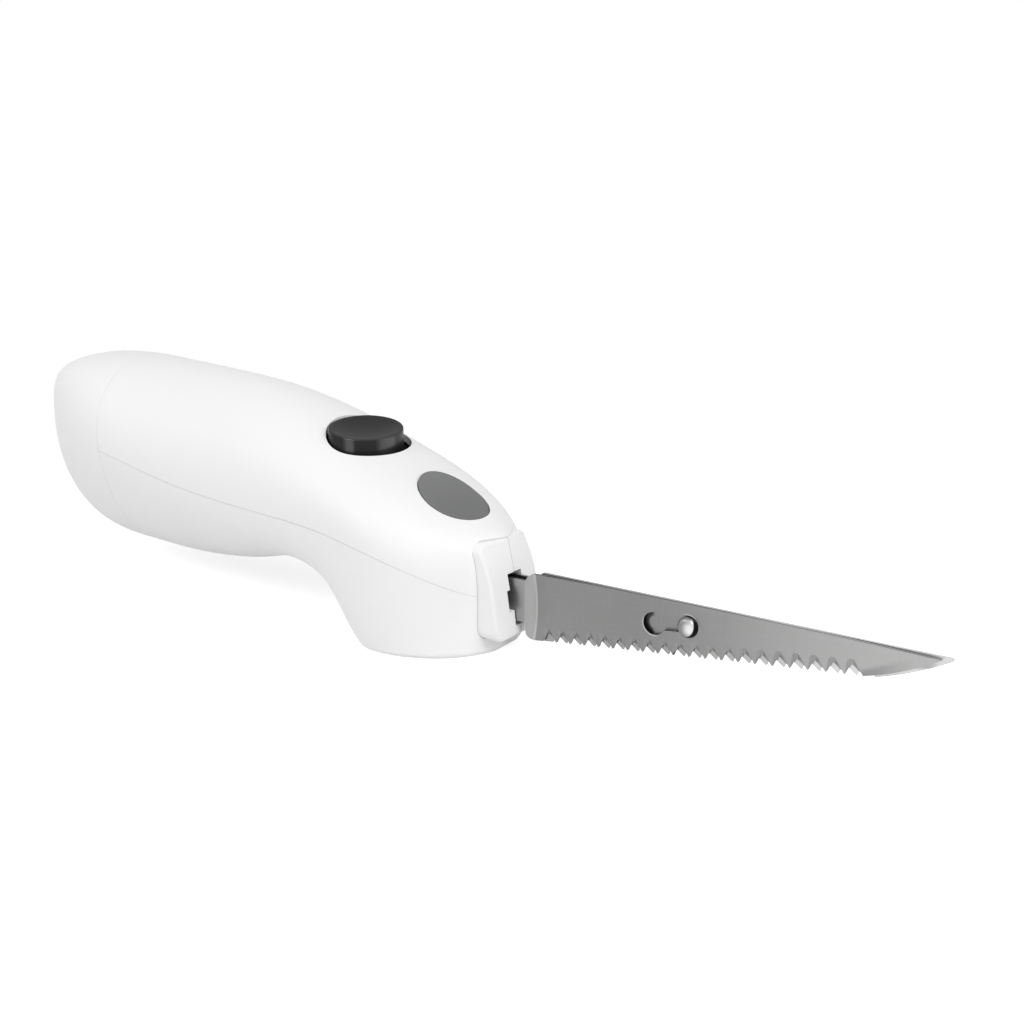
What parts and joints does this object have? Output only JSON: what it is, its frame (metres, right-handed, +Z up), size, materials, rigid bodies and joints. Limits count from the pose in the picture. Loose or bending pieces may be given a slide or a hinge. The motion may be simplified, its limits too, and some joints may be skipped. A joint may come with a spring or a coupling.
{
  "type": "cordless electric knife",
  "caption": "Hand-held cordless kitchen knife with a rounded handle, flat foot, sliding thumb switch, blade release button and paired toothed blades that slide against each other.",
  "frame": {"origin": "on the flat underside of the foot, in the centre plane, 22 mm in front of the foot's rear edge", "axes": "+X forward along the blades to their tip, +Y to the left of someone holding the knife, +Z up"},
  "size_m": [0.3623, 0.065, 0.0845],
  "materials": {
    "shell_plastic": "gloss white moulding",
    "switch_plastic": "satin black moulding",
    "release_plastic": "matte mid-grey moulding",
    "blade_steel": "ground stainless steel",
    "stud_steel": "polished stainless steel",
    "driver_plastic": "black nylon",
    "catch_steel": "plain spring steel",
    "wheel_plastic": "natural acetal",
    "shaft_steel": "turned steel",
    "bush_brass": "turned brass",
    "frame_plastic": "grey filled nylon",
    "motor_steel": "zinc-plated steel",
    "cell_wrap": "green shrink wrap on steel",
    "board_laminate": "green board laminate"
  },
  "bodies": {
    "housing": {"upper_shell": "shell_plastic", "lower_shell": "shell_plastic", "rear_cap": "shell_plastic", "nose_right": "shell_plastic", "nose_left": "shell_plastic", "gear_frame": "frame_plastic", "worm_bush": "bush_brass", "wheel_axle": "shaft_steel", "motor_can": "motor_steel", "motor_end_cap": "driver_plastic", "micro_switch": "driver_plastic", "release_springs": "catch_steel", "battery_cells": "cell_wrap", "battery_tray": "frame_plastic", "circuit_board": "board_laminate", "charge_jack": "driver_plastic", "housing_screws": "shaft_steel"},
    "thumb_switch": {"thumb_switch": "switch_plastic"},
    "release_button": {"release_button": "release_plastic"},
    "worm_wheel": {"worm_wheel": "wheel_plastic"},
    "worm_shaft": {"worm_shaft": "shaft_steel"},
    "right_blade_set": {"driver_right": "driver_plastic", "blade_right": "blade_steel"},
    "left_blade_set": {"driver_left": "driver_plastic", "blade_left": "blade_steel", "blade_stud": "stud_steel"},
    "catch_right": {"catch_right": "catch_steel"},
    "catch_left": {"catch_left": "catch_steel"}
  },
  "joints": [
    {"name": "thumb_switch_slide", "type": "slide", "parent": "housing", "child": "thumb_switch", "axis": [0.9613, 0, -0.2756], "range_m": [0, 0.003], "stiffness_N_per_m": 800},
    {"name": "release_press", "type": "slide", "parent": "housing", "child": "release_button", "axis": [0, 0, -1], "range_m": [0, 0.002], "stiffness_N_per_m": 1500, "deforming": ["release_springs"]},
    {"name": "wheel_spin", "type": "hinge", "parent": "housing", "child": "worm_wheel", "pos_m": [-0.009, 0, 0.018], "axis": [0, 1, 0], "range_deg": [-19.8, 138.4]},
    {"name": "worm_spin", "type": "hinge", "parent": "housing", "child": "worm_shaft", "pos_m": [-0.009, 0, 0.034], "axis": [1, 0, 0], "range_deg": [-3045, 437]},
    {"name": "right_blade_stroke", "type": "slide", "parent": "housing", "child": "right_blade_set", "axis": [1, 0, 0], "range_m": [-0.0005, 0.0035]},
    {"name": "left_blade_stroke", "type": "slide", "parent": "housing", "child": "left_blade_set", "axis": [1, 0, 0], "range_m": [-0.0035, 0.0005]},
    {"name": "catch_right_lift", "type": "hinge", "parent": "right_blade_set", "child": "catch_right", "pos_m": [0.007, -0.004, 0.028], "axis": [0, -1, 0], "range_deg": [0, 22]},
    {"name": "catch_left_lift", "type": "hinge", "parent": "left_blade_set", "child": "catch_left", "pos_m": [0.01, 0.004, 0.028], "axis": [0, -1, 0], "range_deg": [0, 22]}
  ],
  "couplings": [
    {"joint": "left_blade_stroke", "follows": "right_blade_stroke", "ratio": -1},
    {"joint": "wheel_spin", "follows": "right_blade_stroke", "rad_per_m": 689.65},
    {"joint": "worm_spin", "follows": "right_blade_stroke", "rad_per_m": -15172},
    {"joint": "catch_right_lift", "follows": "release_press", "rad_per_m": 191.9},
    {"joint": "catch_left_lift", "follows": "release_press", "rad_per_m": 191.9}
  ]
}
